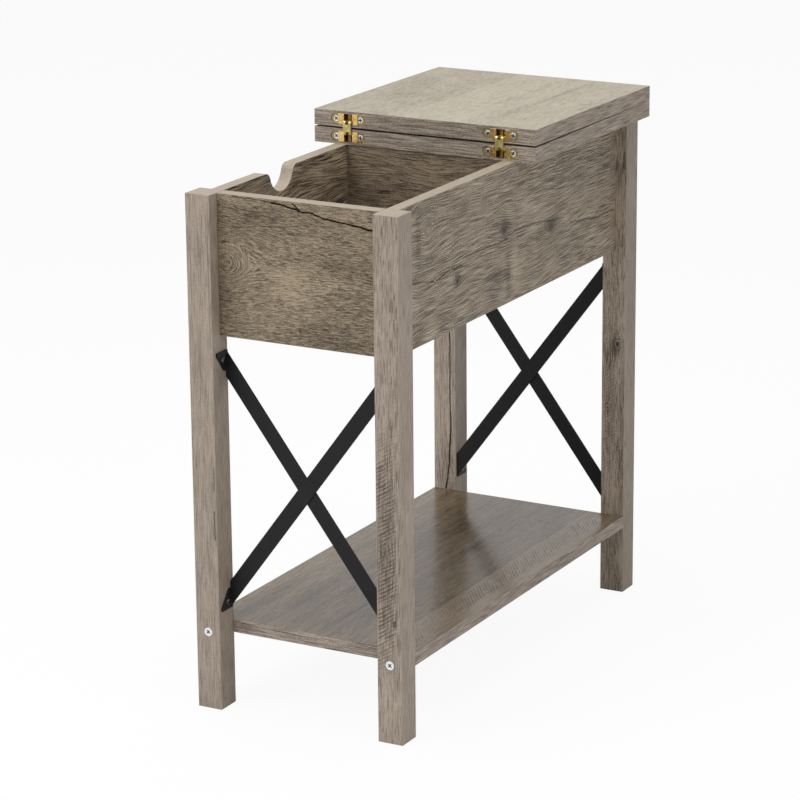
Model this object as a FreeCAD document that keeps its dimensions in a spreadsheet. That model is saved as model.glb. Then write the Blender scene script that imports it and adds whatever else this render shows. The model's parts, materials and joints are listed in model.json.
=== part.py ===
import FreeCAD, Part
import Sketcher
import math
import os
import re

# Flip-top end table: a narrow box on four legs, its top in two leaves that fold on
# concealed hinges. X is the width, Y the length with the front at -Y, Z is up.
# The origin lies on the floor under the middle of the whole table.
doc = FreeCAD.newDocument("flip_top_end_table")
sheet = doc.addObject("Spreadsheet::Sheet", "Dim")

# Driving sizes in millimetres. Names that end in share are parts of one.
SIZES = {
    # Frame and box
    "leg_side": 30, "leg_height": 582, "base_width": 258, "base_length": 586,
    "board_thickness": 15, "box_height": 157, "floor_thickness": 12, "floor_lift": 5,
    "shelf_height": 97, "divider_setback": 2,
    # Two leaves of the top
    "leaf_width": 280, "leaf_length": 300, "leaf_thickness": 18, "leaf_overhang": 8,
    "leaf_gap": 2, "leaf_seam": 2, "leaf_rest": 0.1,
    # Finger notch in the left side panel
    "notch_setback": 150.5, "notch_radius": 25, "notch_depth": 25, "notch_shoulder": 10,
    # Crossed straps between the legs
    "brace_drop": 18, "brace_rise": 17, "brace_reach": 29.5, "brace_thickness": 2,
    "brace_setback": 25.5, "brace_tab_share": 0.88, "brace_relief": 7, "brace_screw_run": 9,
    "brace_screw_radius": 1.5, "brace_screw_length": 16,
    "brace_screw_head_radius": 3.5, "brace_screw_head_height": 1.8,
    # Dowels, with the share of the board's height or width at which they sit
    "dowel_radius": 4, "dowel_length": 30, "leaf_dowel_rise": 12,
    "slim_dowel_radius": 3, "slim_dowel_length": 24, "slim_dowel_depth": 10,
    "end_dowel_share": 0.78, "side_dowel_share": 0.22, "floor_dowel_share": 0.6,
    "divider_low_share": 0.25, "divider_high_share": 0.75, "divider_top_share": 0.45,
    # Cam discs and their bolts
    "cam_radius": 7.5, "cam_depth": 12, "cam_offset": 24,
    "end_cam_share": 0.35, "side_cam_share": 0.58, "leaf_cam_share": 0.5,
    "bolt_thread_radius": 3, "bolt_thread_length": 11, "bolt_shank_radius": 2.5,
    "bolt_head_radius": 3.5, "bolt_head_length": 3.5, "bolt_bore_radius": 4,
    # Screws through the legs into the shelf
    "shelf_screw_radius": 3, "shelf_screw_length": 50,
    "shelf_screw_head_radius": 5, "shelf_screw_head_depth": 2.5,
    # Concealed hinges
    "hinge_inset": 43.5, "hinge_length": 44.5, "hinge_height": 12, "hinge_depth": 10.5,
    "hinge_margin": 3, "hinge_block": 25, "hinge_slot": 10.4, "hinge_slot_depth": 8.5,
    "lobe_recess": 1, "hinge_screw_spread": 15.5, "hinge_screw_radius": 1.5,
    "hinge_screw_length": 20, "hinge_screw_head_radius": 3.5, "hinge_screw_head_depth": 1.5,
    "pin_depth": 5.5, "pin_radius": 1, "pin_length": 23.4,
    "hinge_post": 3.4, "post_room": 0.8, "fork_room": 0.4, "fork_start": 1.4,
    "link_width": 10, "link_eye": 2, "link_strip": 1.15, "link_lap": 10.5,
    "lower_link_reach": 7.1, "upper_link_reach": 8.5, "link_round_share": 0.95,
    # Clearances: radius of a fit, end of a blind hole, overrun of a cut
    "fit": 0.05, "end_gap": 0.2, "overrun": 1,
}

# Lengths that follow from the driving sizes.
DERIVED = {
    "mid_y": "-leaf_overhang / 2",
    "inner_x": "base_width / 2 - leg_side",
    "inner_y": "base_length / 2 - leg_side",
    "panel_x": "inner_x + board_thickness / 2",
    "panel_y": "inner_y + board_thickness / 2",
    "leg_x": "inner_x + leg_side / 2",
    "leg_y": "inner_y + leg_side / 2",
    "front_y": "mid_y - base_length / 2",
    "box_bottom": "leg_height - box_height",
    "floor_middle": "box_bottom + floor_lift + floor_thickness / 2",
    "floor_top": "box_bottom + floor_lift + floor_thickness",
    "shelf_middle": "shelf_height - board_thickness / 2",
    "leaf_back": "mid_y + base_length / 2 + leaf_overhang",
    "hinge_edge": "leaf_back - leaf_length",
    "axis_y": "hinge_edge - leaf_seam / 2",
    "axis_z": "leg_height + leaf_thickness + leaf_gap / 2",
    "divider_y": "hinge_edge + divider_setback + board_thickness / 2",
    "divider_height": "leg_height - floor_top",
    "notch_y": "front_y + notch_setback",
    "notch_z": "leg_height - notch_depth + notch_radius",
    "notch_flare": "sqrt(notch_depth * (2 * notch_radius + 2 * notch_shoulder - notch_depth))",
    "notch_bend": "(notch_radius - notch_depth + notch_shoulder) / (notch_radius + notch_shoulder)",
    "notch_meet": "notch_z - notch_radius * notch_bend",
    "tilt": "atan((leaf_gap - leaf_rest) / leaf_length)",
    "hinge_spread": "leaf_width / 2 - hinge_inset",
    "hinge_drop": "leaf_gap / 2 + hinge_margin + hinge_height / 2",
    "lobe_middle": "(hinge_length - hinge_height) / 2",
    "pin_back": "leaf_seam / 2 + pin_depth",
    "pin_drop": "leaf_gap / 2 + pin_depth",
    "slot_start": "hinge_drop - hinge_height / 2 - overrun",
    "post_start": "pin_drop + link_eye + post_room",
    "post_back": "link_lap - leaf_seam - pin_depth + post_room",
    "fork_end": "pin_depth - post_back + fork_room",
    "brace_top": "box_bottom - brace_drop",
    "brace_bottom": "shelf_height + brace_rise",
    "brace_run": "brace_reach * 2 * inner_x / (brace_top - brace_bottom - brace_reach)",
    "tab_screw_drop": "brace_reach * (1 - brace_screw_run / brace_run) / 2",
}

for row, (alias, value) in enumerate(SIZES.items(), start=1):
    sheet.set("A%d" % row, alias)
    sheet.set("B%d" % row, str(value))
    sheet.setAlias("B%d" % row, alias)
doc.recompute()


def formula(text):
    """Write a formula in plain names as one over the cells of the sheet."""
    def expand(match):
        word = match.group(0)
        if word in SIZES:
            return "Dim." + word
        if word in DERIVED:
            return "(" + formula(DERIVED[word]) + ")"
        return word
    return re.sub(r"[a-z][a-z_]+", expand, text)


def bind(item, prop, text):
    item.setExpression(prop, formula(text))


def along(point, axis, step):
    """Move a point of three formulas by a step on one axis."""
    return ["%s + (%s)" % (text, step) if letter == axis else text
            for letter, text in zip("xyz", point)]


def block(name, middle, spans):
    """A board or cutter with square edges, set by its middle."""
    item = doc.addObject("Part::Box", name)
    for prop, letter, centre, span in zip(("Length", "Width", "Height"), "xyz", middle, spans):
        bind(item, prop, span)
        bind(item, "Placement.Base." + letter, "(%s) - (%s) / 2" % (centre, span))
    return item


TURNS = {
    "x": FreeCAD.Rotation(FreeCAD.Vector(0, 1, 0), 90),
    "y": FreeCAD.Rotation(FreeCAD.Vector(1, 0, 0), -90),
    "z": FreeCAD.Rotation(),
}


def rod(name, axis, middle, radius, length):
    """A round bar or bore along one axis, set by its middle."""
    item = doc.addObject("Part::Cylinder", name)
    item.Placement = FreeCAD.Placement(FreeCAD.Vector(), TURNS[axis])
    bind(item, "Radius", radius)
    bind(item, "Height", length)
    for letter, centre in zip("xyz", middle):
        start = "(%s) - (%s) / 2" % (centre, length) if letter == axis else centre
        bind(item, "Placement.Base." + letter, start)
    return item


def group(name, items):
    item = doc.addObject("Part::Compound", name)
    item.Links = items
    return item


def fuse(name, items):
    item = doc.addObject("Part::MultiFuse", name)
    item.Shapes = items
    return item


def cut(name, base, tools):
    item = doc.addObject("Part::Cut", name)
    item.Base = base
    item.Tool = group(name + "_cutters", tools)
    return item


def mirrored(name, source, axis):
    """Reflect in the upright plane through the middle of the legs."""
    item = doc.addObject("Part::Mirroring", name)
    item.Source = source
    item.Normal = FreeCAD.Vector(1, 0, 0) if axis == "x" else FreeCAD.Vector(0, 1, 0)
    if axis == "y":
        bind(item, "Base.y", "mid_y")
    return item


NODES = {}


def node(name, item):
    """Name a finished sub-part."""
    item.Label = name
    NODES[name] = item
    return item


def outline(body, name, plane, points, holes=(), offset="0"):
    """Draw a closed outline on an origin plane, each corner held by two distances."""
    sketch = body.newObject("Sketcher::SketchObject", name)
    support = [item for item in body.Origin.OriginFeatures if item.Role == plane][0]
    sketch.AttachmentSupport = [(support, "")]
    sketch.MapMode = "FlatFace"
    bind(sketch, "AttachmentOffset.Base.z", offset)
    count = len(points)
    turns = [2 * math.pi * corner / count for corner in range(count)]
    guess = [FreeCAD.Vector(math.cos(turn), math.sin(turn), 0) for turn in turns]
    for corner in range(count):
        sketch.addGeometry(Part.LineSegment(guess[corner], guess[(corner + 1) % count]), False)
    for corner in range(count):
        sketch.addConstraint(Sketcher.Constraint("Coincident", corner, 2, (corner + 1) % count, 1))
    for corner, (across, up) in enumerate(points):
        pin_point(sketch, corner, 1, guess[corner], "corner%d" % corner, across, up)
    for index, (across, up, radius) in enumerate(holes):
        circle = sketch.addGeometry(Part.Circle(FreeCAD.Vector(), FreeCAD.Vector(0, 0, 1), 1), False)
        pin_point(sketch, circle, 3, FreeCAD.Vector(), "hole%d" % index, across, up)
        size = sketch.addConstraint(Sketcher.Constraint("Radius", circle, 1))
        sketch.renameConstraint(size, "hole%d_radius" % index)
        bind(sketch, "Constraints.hole%d_radius" % index, radius)
    return sketch


def pin_point(sketch, geometry, end, guess, name, across, up):
    """Hold one point of a sketch by its distances from the sketch's origin."""
    for kind, letter, value, text in (
            ("DistanceX", "x", guess.x, across), ("DistanceY", "y", guess.y, up)):
        index = sketch.addConstraint(Sketcher.Constraint(kind, -1, 1, geometry, end, value))
        sketch.renameConstraint(index, name + letter)
        bind(sketch, "Constraints." + name + letter, text)


def pad(body, name, sketch, length, both_ways=False):
    item = body.newObject("PartDesign::Pad", name)
    item.Profile = sketch
    bind(item, "Length", length)
    item.Midplane = both_ways
    return item


SIDES = (("left", -1), ("right", 1))
ENDS = (("front", -1), ("back", 1))

# Dowels: each one fills a bore that runs into both boards of its joint.
bores = {}


def dowel(name, axis, middle, radius, length):
    bores[name] = rod(name + "_bore", axis, middle, radius + " + fit", length + " + 2 * end_gap")
    return rod(name, axis, middle, radius, length)


panel_dowels = []
leaf_dowels = []
slim_dowels = []
for side, sx in SIDES:
    for end, sy in ENDS:
        at = end + "_" + side
        corner_y = "mid_y + %d * panel_y" % sy
        end_z = "box_bottom + end_dowel_share * box_height"
        end_face = ["%d * inner_x" % sx, corner_y, end_z]
        panel_dowels.append(dowel("end_dowel_" + at, "x", end_face, "dowel_radius", "dowel_length"))
        side_z = "box_bottom + side_dowel_share * box_height"
        side_face = ["%d * panel_x" % sx, "mid_y + %d * inner_y" % sy, side_z]
        panel_dowels.append(dowel("side_dowel_" + at, "y", side_face, "dowel_radius", "dowel_length"))
        floor_x = "%d * floor_dowel_share * inner_x" % sx
        floor_face = [floor_x, "mid_y + %d * inner_y" % sy, "floor_middle"]
        floor_point = along(floor_face, "y", "%d * (slim_dowel_depth - slim_dowel_length / 2)" % sy)
        slim_dowels.append(dowel("floor_dowel_" + at, "y", floor_point,
                                 "slim_dowel_radius", "slim_dowel_length"))
    for level in ("low", "high"):
        divider_z = "floor_top + divider_%s_share * divider_height" % level
        face = ["%d * inner_x" % sx, "divider_y", divider_z]
        point = along(face, "x", "%d * (slim_dowel_depth - slim_dowel_length / 2)" % sx)
        at = "divider_dowel_%s_%s" % (level, side)
        slim_dowels.append(dowel(at, "x", point, "slim_dowel_radius", "slim_dowel_length"))
    leaf_z = "leg_height + leaf_dowel_rise - dowel_length / 2"
    leg_point = ["%d * leg_x" % sx, "mid_y + leg_y", leaf_z]
    leaf_dowels.append(dowel("leg_top_dowel_" + side, "z", leg_point, "dowel_radius", "dowel_length"))
    top_point = ["%d * divider_top_share * inner_x" % sx, "divider_y", leaf_z]
    leaf_dowels.append(dowel("divider_top_dowel_" + side, "z", top_point, "dowel_radius", "dowel_length"))
node("panel_dowels", group("PanelDowels", panel_dowels))
node("leaf_dowels", group("LeafDowels", leaf_dowels))
node("slim_dowels", group("SlimDowels", slim_dowels))

# Cam joints: a bolt screwed into one board, held by a disc let into the inner face
# of the other. The first sign points into the board that takes the thread.
cam_bolts = []
cam_discs = []


def cam_joint(name, axis, face, into, across, inward):
    thread = along(face, axis, "%d * bolt_thread_length / 2" % into)
    shank = along(face, axis, "%d * cam_offset / 2" % -into)
    disc = along(face, axis, "%d * cam_offset" % -into)
    bolt = fuse(name + "_bolt", [
        rod(name + "_thread", axis, thread, "bolt_thread_radius", "bolt_thread_length"),
        rod(name + "_shank", axis, shank, "bolt_shank_radius", "cam_offset"),
        rod(name + "_head", axis, disc, "bolt_head_radius", "bolt_head_length")])
    cam_bolts.append(bolt)
    bores[name + "_thread"] = rod(name + "_thread_bore", axis, thread, "bolt_thread_radius + fit",
                                  "bolt_thread_length + 2 * end_gap")
    reach = along(face, axis, "%d * (cam_offset + bolt_head_length) / 2" % -into)
    tunnel = rod(name + "_tunnel", axis, reach, "bolt_bore_radius",
                 "cam_offset + bolt_head_length + overrun")
    middle = along(disc, across, "%d * (board_thickness - cam_depth) / 2" % inward)
    seat_middle = along(middle, across, "%d * (overrun - end_gap) / 2" % inward)
    seat = rod(name + "_seat", across, seat_middle, "cam_radius + fit", "cam_depth + overrun + end_gap")
    bores[name + "_panel"] = group(name + "_panel_bores", [tunnel, seat])
    blank = rod(name + "_blank", across, middle, "cam_radius", "cam_depth")
    cam_discs.append(cut(name + "_disc", blank, [tunnel]))


for side, sx in SIDES:
    for end, sy in ENDS:
        at = end + "_" + side
        end_z = "box_bottom + end_cam_share * box_height"
        end_face = ["%d * inner_x" % sx, "mid_y + %d * panel_y" % sy, end_z]
        cam_joint("end_cam_" + at, "x", end_face, sx, "y", -sy)
        side_z = "box_bottom + side_cam_share * box_height"
        side_face = ["%d * panel_x" % sx, "mid_y + %d * inner_y" % sy, side_z]
        cam_joint("side_cam_" + at, "y", side_face, sy, "x", -sx)
    leaf_face = ["%d * panel_x" % sx, "divider_y + leaf_cam_share * (mid_y + inner_y - divider_y)",
                 "leg_height"]
    cam_joint("leaf_cam_" + side, "z", leaf_face, 1, "x", -sx)
cam_joint("leaf_cam_back", "z", ["0", "mid_y + panel_y", "leg_height"], 1, "y", -1)
node("cam_bolts", group("CamBolts", cam_bolts))
node("cam_discs", group("CamDiscs", cam_discs))

# Screws through the legs into the ends of the shelf, heads let in flush.
shelf_screws = []
for side, sx in SIDES:
    for end, sy in ENDS:
        at = "shelf_screw_%s_%s" % (end, side)
        outer = ["%d * leg_x" % sx, "mid_y + %d * base_length / 2" % sy, "shelf_middle"]
        head = along(outer, "y", "%d * shelf_screw_head_depth / 2" % -sy)
        shank = along(outer, "y", "%d * shelf_screw_length / 2" % -sy)
        shelf_screws.append(fuse(at, [
            rod(at + "_head", "y", head, "shelf_screw_head_radius", "shelf_screw_head_depth"),
            rod(at + "_shank", "y", shank, "shelf_screw_radius", "shelf_screw_length")]))
        bores[at] = group(at + "_bores", [
            rod(at + "_seat", "y", head, "shelf_screw_head_radius + fit",
                "shelf_screw_head_depth + 2 * end_gap"),
            rod(at + "_hole", "y", shank, "shelf_screw_radius + fit", "shelf_screw_length + 2 * end_gap")])
node("shelf_screws", group("ShelfScrews", shelf_screws))

# Braces: flat straps that cross between two legs, each end bent square into a
# pointed tab on the inner face of the leg, with a relief at the foot of the bend.
# The pair at the back is the front pair turned half round.


def strap(name, top_side, back_face):
    """A strap from the top of one leg to the bottom of the other."""
    body = doc.addObject("PartDesign::Body", name)
    bind(body, "Placement.Base.y", back_face)
    high = "%d * inner_x" % top_side
    low = "%d * inner_x" % -top_side
    flat = outline(body, name + "_flat", "XZ_Plane", [
        (high, "brace_top"), (high, "brace_top - brace_reach"),
        (low, "brace_bottom"), (low, "brace_bottom + brace_reach")])
    pad(body, name + "_flat_pad", flat, "brace_thickness")
    tip_y = "-brace_thickness - brace_tab_share * brace_run"
    screw_y = "-brace_thickness - brace_screw_run"
    for place, side, edge, down in (
            ("top", top_side, "brace_top", -1), ("low", -top_side, "brace_bottom", 1)):
        relief = "%s + %d * (brace_reach - brace_relief)" % (edge, down)
        relief_y = "-brace_thickness - brace_relief * brace_run / brace_reach"
        tip = "%s + %d * brace_reach * (1 - brace_tab_share)" % (edge, down)
        hole_z = "%s + %d * tab_screw_drop" % (edge, down)
        plane_x = "%d * inner_x - %d * brace_thickness" % (side, 1 if side > 0 else 0)
        tab = outline(body, name + "_tab_" + place, "YZ_Plane", [
            ("0", edge), ("0", relief), (relief_y, relief), (tip_y, tip), (tip_y, edge)],
            [(screw_y, hole_z, "brace_screw_radius + fit")], plane_x)
        pad(body, name + "_tab_pad_" + place, tab, "brace_thickness")
    return body


front_straps = {
    "behind": strap("front_brace_behind", -1, "front_y + brace_setback + brace_thickness"),
    "before": strap("front_brace_before", 1, "front_y + brace_setback"),
}
node("front_brace_strap_inner", front_straps["behind"])
node("front_brace_strap_outer", front_straps["before"])
for place, layer in (("behind", "inner"), ("before", "outer")):
    turned = mirrored("turn_" + place, front_straps[place], "x")
    node("back_brace_strap_" + layer, mirrored("back_brace_" + place, turned, "y"))

brace_screws = []
brace_bores = []
for side, sx in SIDES:
    for place, edge, down, face in (
            ("top", "brace_top", -1, "front_y + brace_setback - %d * brace_thickness" % (sx > 0)),
            ("low", "brace_bottom", 1, "front_y + brace_setback - %d * brace_thickness" % (sx < 0))):
        at = "brace_screw_%s_%s" % (place, side)
        seat = ["%d * (inner_x - brace_thickness)" % sx, face + " - brace_screw_run",
                "%s + %d * tab_screw_drop" % (edge, down)]
        head = along(seat, "x", "%d * brace_screw_head_height / 2" % -sx)
        shank = along(seat, "x", "%d * brace_screw_length / 2" % sx)
        brace_screws.append(fuse(at, [
            rod(at + "_head", "x", head, "brace_screw_head_radius", "brace_screw_head_height"),
            rod(at + "_shank", "x", shank, "brace_screw_radius", "brace_screw_length")]))
        brace_bores.append(rod(at + "_bore", "x", shank, "brace_screw_radius + fit",
                               "brace_screw_length + 2 * end_gap"))
bores["front_braces"] = group("FrontBraceBores", brace_bores)
bores["back_braces"] = mirrored("BackBraceBores", mirrored("TurnBraceBores", bores["front_braces"], "x"), "y")
front_brace_screws = node("front_brace_screws", group("FrontBraceScrews", brace_screws))
node("back_brace_screws", mirrored("BackBraceScrews", mirrored("TurnBraceScrews", front_brace_screws, "x"), "y"))

# Legs: square posts, drilled for the fasteners of the panels, shelf and braces.
for side, sx in SIDES:
    for end, sy in ENDS:
        at = end + "_" + side
        middle = ["%d * leg_x" % sx, "mid_y + %d * leg_y" % sy, "leg_height / 2"]
        post = block("leg_post_" + at, middle, ["leg_side", "leg_side", "leg_height"])
        tools = [bores["end_dowel_" + at], bores["side_dowel_" + at], bores["end_cam_%s_thread" % at],
                 bores["side_cam_%s_thread" % at], bores["shelf_screw_" + at], bores[end + "_braces"]]
        if end == "back":
            tools.append(bores["leg_top_dowel_" + side])
        node("leg_" + at, cut("Leg_" + at, post, tools))

# End panels between the legs, inner faces flush with those of the legs.
for end, sy in ENDS:
    board = block(end + "_end_board", ["0", "mid_y + %d * panel_y" % sy, "leg_height - box_height / 2"],
                  ["2 * inner_x", "board_thickness", "box_height"])
    tools = []
    for side, sx in SIDES:
        at = end + "_" + side
        tools += [bores["end_dowel_" + at], bores["end_cam_%s_panel" % at], bores["floor_dowel_" + at]]
    if end == "back":
        tools.append(bores["leaf_cam_back_panel"])
    node(end + "_end_panel", cut(end.capitalize() + "EndPanel", board, tools))

# Side panels; the left one has the finger notch under the edge of the flip leaf.
notch_width = "2 * (board_thickness + overrun)"
notch_round = rod("notch_round", "x", ["-panel_x", "notch_y", "notch_z"], "notch_radius", notch_width)
notch_mouth = block("notch_mouth", ["-panel_x", "notch_y", "(notch_meet + leg_height + overrun) / 2"],
                    [notch_width, "2 * notch_flare", "leg_height + overrun - notch_meet"])
notch_shoulders = [
    rod("notch_shoulder_" + name, "x",
        ["-panel_x", "notch_y + %d * notch_flare" % sign, "leg_height - notch_shoulder"],
        "notch_shoulder", notch_width + " + overrun")
    for name, sign in (("near", -1), ("far", 1))]
notch = [notch_round, cut("notch_flared_mouth", notch_mouth, notch_shoulders)]
for side, sx in SIDES:
    board = block(side + "_side_board", ["%d * panel_x" % sx, "mid_y", "leg_height - box_height / 2"],
                  ["board_thickness", "2 * inner_y", "box_height"])
    tools = [bores["leaf_cam_%s_panel" % side]]
    for end, sy in ENDS:
        at = end + "_" + side
        tools += [bores["side_dowel_" + at], bores["side_cam_%s_panel" % at]]
    for level in ("low", "high"):
        tools.append(bores["divider_dowel_%s_%s" % (level, side)])
    if side == "left":
        tools += notch
    node(side + "_side_panel", cut(side.capitalize() + "SidePanel", board, tools))

# Divider under the hinges, floor of the box, and the open shelf between the legs.
board = block("divider_board", ["0", "divider_y", "floor_top + divider_height / 2"],
              ["2 * inner_x", "board_thickness", "divider_height"])
tools = [bores["divider_dowel_%s_%s" % (level, side)]
         for level in ("low", "high") for side in ("left", "right")]
tools += [bores["divider_top_dowel_" + side] for side in ("left", "right")]
node("divider_panel", cut("DividerPanel", board, tools))

board = block("floor_board", ["0", "mid_y", "floor_middle"],
              ["2 * inner_x", "2 * inner_y", "floor_thickness"])
tools = [bores["floor_dowel_%s_%s" % (end, side)] for end in ("front", "back") for side in ("left", "right")]
node("compartment_floor", cut("CompartmentFloor", board, tools))

board = block("shelf_board", ["0", "mid_y", "shelf_middle"],
              ["base_width", "2 * inner_y", "board_thickness"])
tools = [bores["shelf_screw_%s_%s" % (end, side)] for end in ("front", "back") for side in ("left", "right")]
node("lower_shelf", cut("LowerShelf", board, tools))

# Concealed hinges and leaves. Each leaf is drawn from the folding axis: the fixed
# one below it and in place, the flip one above it and then hung on the axis with
# the small tilt that lets its far edge rest on the fixed leaf.
LEAVES = (("fixed", -1, "axis_y", "axis_z"), ("flip", 1, "0", "0"))


def hang(item, leaf):
    """Give the pieces of the flip leaf their place on the folding axis."""
    if leaf == "flip":
        turn = FreeCAD.Rotation(FreeCAD.Vector(1, 0, 0), -1)
        item.Placement = FreeCAD.Placement(FreeCAD.Vector(), turn)
        bind(item, "Placement.Base.y", "axis_y")
        bind(item, "Placement.Base.z", "axis_z")
        bind(item, "Placement.Rotation.Angle", "-tilt")
    return item


def stadium(name, x, y, z, depth, room):
    """A block with round ends, standing in the edge of a leaf from its face inwards."""
    middle = [x, "%s + leaf_seam / 2 + (%s) / 2" % (y, depth), z]
    tall = "hinge_height + 2 * " + room
    ends = [rod(name + "_round%d" % sign, "y", along(middle, "x", "%d * lobe_middle" % sign),
                "hinge_height / 2 + " + room, depth) for sign in (-1, 1)]
    return fuse(name, [block(name + "_bar", middle, ["2 * lobe_middle", depth, tall])] + ends)


for leaf, up, oy, oz in LEAVES:
    hinge_screws = []
    pins = []
    mortises = []
    for side, sx in SIDES:
        at = "%s_%s" % (leaf, side)
        x = "%d * hinge_spread" % sx
        z = "%s + %d * hinge_drop" % (oz, up)
        edge = "%s + leaf_seam / 2" % oy
        mortises.append(stadium("mortise_" + at, x, oy, z, "hinge_depth + end_gap", "fit"))
        barrel = stadium("barrel_" + at, x, oy, z, "hinge_depth", "0")
        slot_y = edge + " + (hinge_slot_depth - overrun) / 2"
        slot_z = "%s + %d * (slot_start + post_start) / 2" % (oz, up)
        tools = [block("hinge_slot_" + at, [x, slot_y, slot_z],
                       ["hinge_slot", "hinge_slot_depth + overrun", "post_start - slot_start"])]
        for place, sign in (("outer", sx), ("inner", -sx)):
            beside = "%s + %d * (hinge_slot + hinge_post) / 4" % (x, sign)
            tools.append(block("prong_slot_%s_%s" % (at, place), [beside, slot_y, z],
                               ["(hinge_slot - hinge_post) / 2", "hinge_slot_depth + overrun",
                                "hinge_height + 2 * overrun"]))
        tools.append(block("post_front_" + at, [x, edge + " + (post_back - overrun) / 2", z],
                           ["hinge_slot", "post_back + overrun", "hinge_height + 2 * overrun"]))
        pin_middle = [x, "%s + pin_back" % oy, "%s + %d * pin_drop" % (oz, up)]
        pins.append(rod("pin_" + at, "x", pin_middle, "pin_radius", "pin_length"))
        tools.append(rod("pin_hole_" + at, "x", pin_middle, "pin_radius + fit", "pin_length + 2 * end_gap"))
        for place, sign in (("outer", sx), ("inner", -sx)):
            name = "%s_%s" % (at, place)
            lobe = "hinge_length / 2 - hinge_block / 2 + overrun"
            lobe_x = "%s + %d * (hinge_block / 2 + (%s) / 2)" % (x, sign, lobe)
            tools.append(block("lobe_" + name, [lobe_x, edge + " + (lobe_recess - overrun) / 2", z],
                               [lobe, "lobe_recess + overrun", "hinge_height + 2 * overrun"]))
            face = ["%s + %d * hinge_screw_spread" % (x, sign), edge + " + lobe_recess", z]
            head = along(face, "y", "hinge_screw_head_depth / 2")
            shank = along(face, "y", "hinge_screw_length / 2")
            hinge_screws.append(fuse("hinge_screw_" + name, [
                rod("hinge_screw_head_" + name, "y", head, "hinge_screw_head_radius",
                    "hinge_screw_head_depth"),
                rod("hinge_screw_shank_" + name, "y", shank, "hinge_screw_radius", "hinge_screw_length")]))
            tools.append(rod("hinge_screw_seat_" + name, "y", head, "hinge_screw_head_radius + fit",
                             "hinge_screw_head_depth + 2 * end_gap"))
            hole = rod("hinge_screw_hole_" + name, "y", shank, "hinge_screw_radius + fit",
                       "hinge_screw_length + 2 * end_gap")
            tools.append(hole)
            mortises.append(hole)
        body = hang(cut("HingeBody_" + at, barrel, tools), leaf)
        node("%s_hinge_body_%s" % (leaf, side), body)
    node(leaf + "_hinge_pins", hang(group(leaf.capitalize() + "HingePins", pins), leaf))
    node(leaf + "_hinge_screws", hang(group(leaf.capitalize() + "HingeScrews", hinge_screws), leaf))
    middle = ["0", "%s + leaf_seam / 2 + leaf_length / 2" % oy,
              "%s + %d * (leaf_gap + leaf_thickness) / 2" % (oz, up)]
    board = block(leaf + "_leaf_board", middle, ["leaf_width", "leaf_length", "leaf_thickness"])
    if leaf == "fixed":
        for side, sx in SIDES:
            mortises += [bores["leg_top_dowel_" + side], bores["divider_top_dowel_" + side]]
            mortises.append(bores["leaf_cam_%s_thread" % side])
        mortises.append(bores["leaf_cam_back_thread"])
    node(leaf + "_leaf", hang(cut(leaf.capitalize() + "Leaf", board, mortises), leaf))

# Link of each hinge in two halves that slide on one another, each half an eye on
# its pin, an arm out of the slot and a strip bent along the front of the other half.
# The arm is forked, so that it swings past the post in the middle of the slot.
for half, leaf, up in (("lower", "fixed", -1), ("upper", "flip", 1)):
    for side, sx in SIDES:
        at = "%s_link_%s" % (half, side)
        body = doc.addObject("PartDesign::Body", at)
        hang(body, leaf)
        bind(body, "Placement.Base.x", "%d * hinge_spread" % sx)
        bind(body, "Placement.Base.y", "axis_y")
        bind(body, "Placement.Base.z", "axis_z")
        reach = half + "_link_reach"

        def corner(out, on):
            return ("pin_back - (%s)" % out, "%d * (pin_drop - (%s))" % (up, on))
        profile = outline(body, at + "_profile", "YZ_Plane", [
            corner("-link_eye", "-link_eye"), corner(reach, "-link_eye"), corner(reach, "link_lap"),
            corner(reach + " - link_strip", "link_lap"), corner(reach + " - link_strip", "link_eye"),
            corner("-link_eye", "link_eye")], [corner("0", "0") + ("pin_radius + fit",)])
        solid = pad(body, at + "_pad", profile, "link_width", True)
        doc.recompute()
        limits = solid.Shape.BoundBox
        foot = limits.ZMin if up < 0 else limits.ZMax
        chosen = []
        for index, edge in enumerate(solid.Shape.Edges, start=1):
            middle = edge.BoundBox
            at_back = abs(middle.YMin - limits.YMax) < SIZES["fit"]
            at_foot = abs(middle.YMax - limits.YMin) + abs(middle.Center.z - foot) < SIZES["fit"]
            if middle.XLength > SIZES["link_width"] / 2 and (at_back or at_foot):
                chosen.append("Edge%d" % index)
        round_off = body.newObject("PartDesign::Fillet", at + "_rounds")
        round_off.Base = (solid, chosen)
        bind(round_off, "Radius", "link_eye * link_round_share")
        fork = body.newObject("PartDesign::Pocket", at + "_fork")
        fork.Profile = outline(body, at + "_fork_profile", "YZ_Plane", [
            corner("fork_start", "-link_eye - overrun"), corner(reach + " + overrun", "-link_eye - overrun"),
            corner(reach + " + overrun", "fork_end"), corner("fork_start", "fork_end")])
        bind(fork, "Length", "hinge_post + 2 * fork_room")
        fork.Midplane = True
        doc.recompute()
        if fork.Shape.Volume >= round_off.Shape.Volume:
            raise RuntimeError("the fork of %s cuts nothing" % at)
        node(at, body)

doc.recompute()

# Every sub-part is checked before it is written.
for item in doc.Objects:
    if "Invalid" in item.State or "Error" in item.State:
        raise RuntimeError("%s does not build: %s" % (item.Name, item.State))
os.makedirs("parts", exist_ok=True)
for name, item in NODES.items():
    if item.Shape.isNull() or not item.Shape.isValid() or not item.Shape.Solids:
        raise RuntimeError("%s has no sound shape" % name)
    item.Shape.exportStep("parts/%s.step" % name)
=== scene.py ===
import json
import math
import bmesh
import bpy
from mathutils import Matrix, Vector

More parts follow.
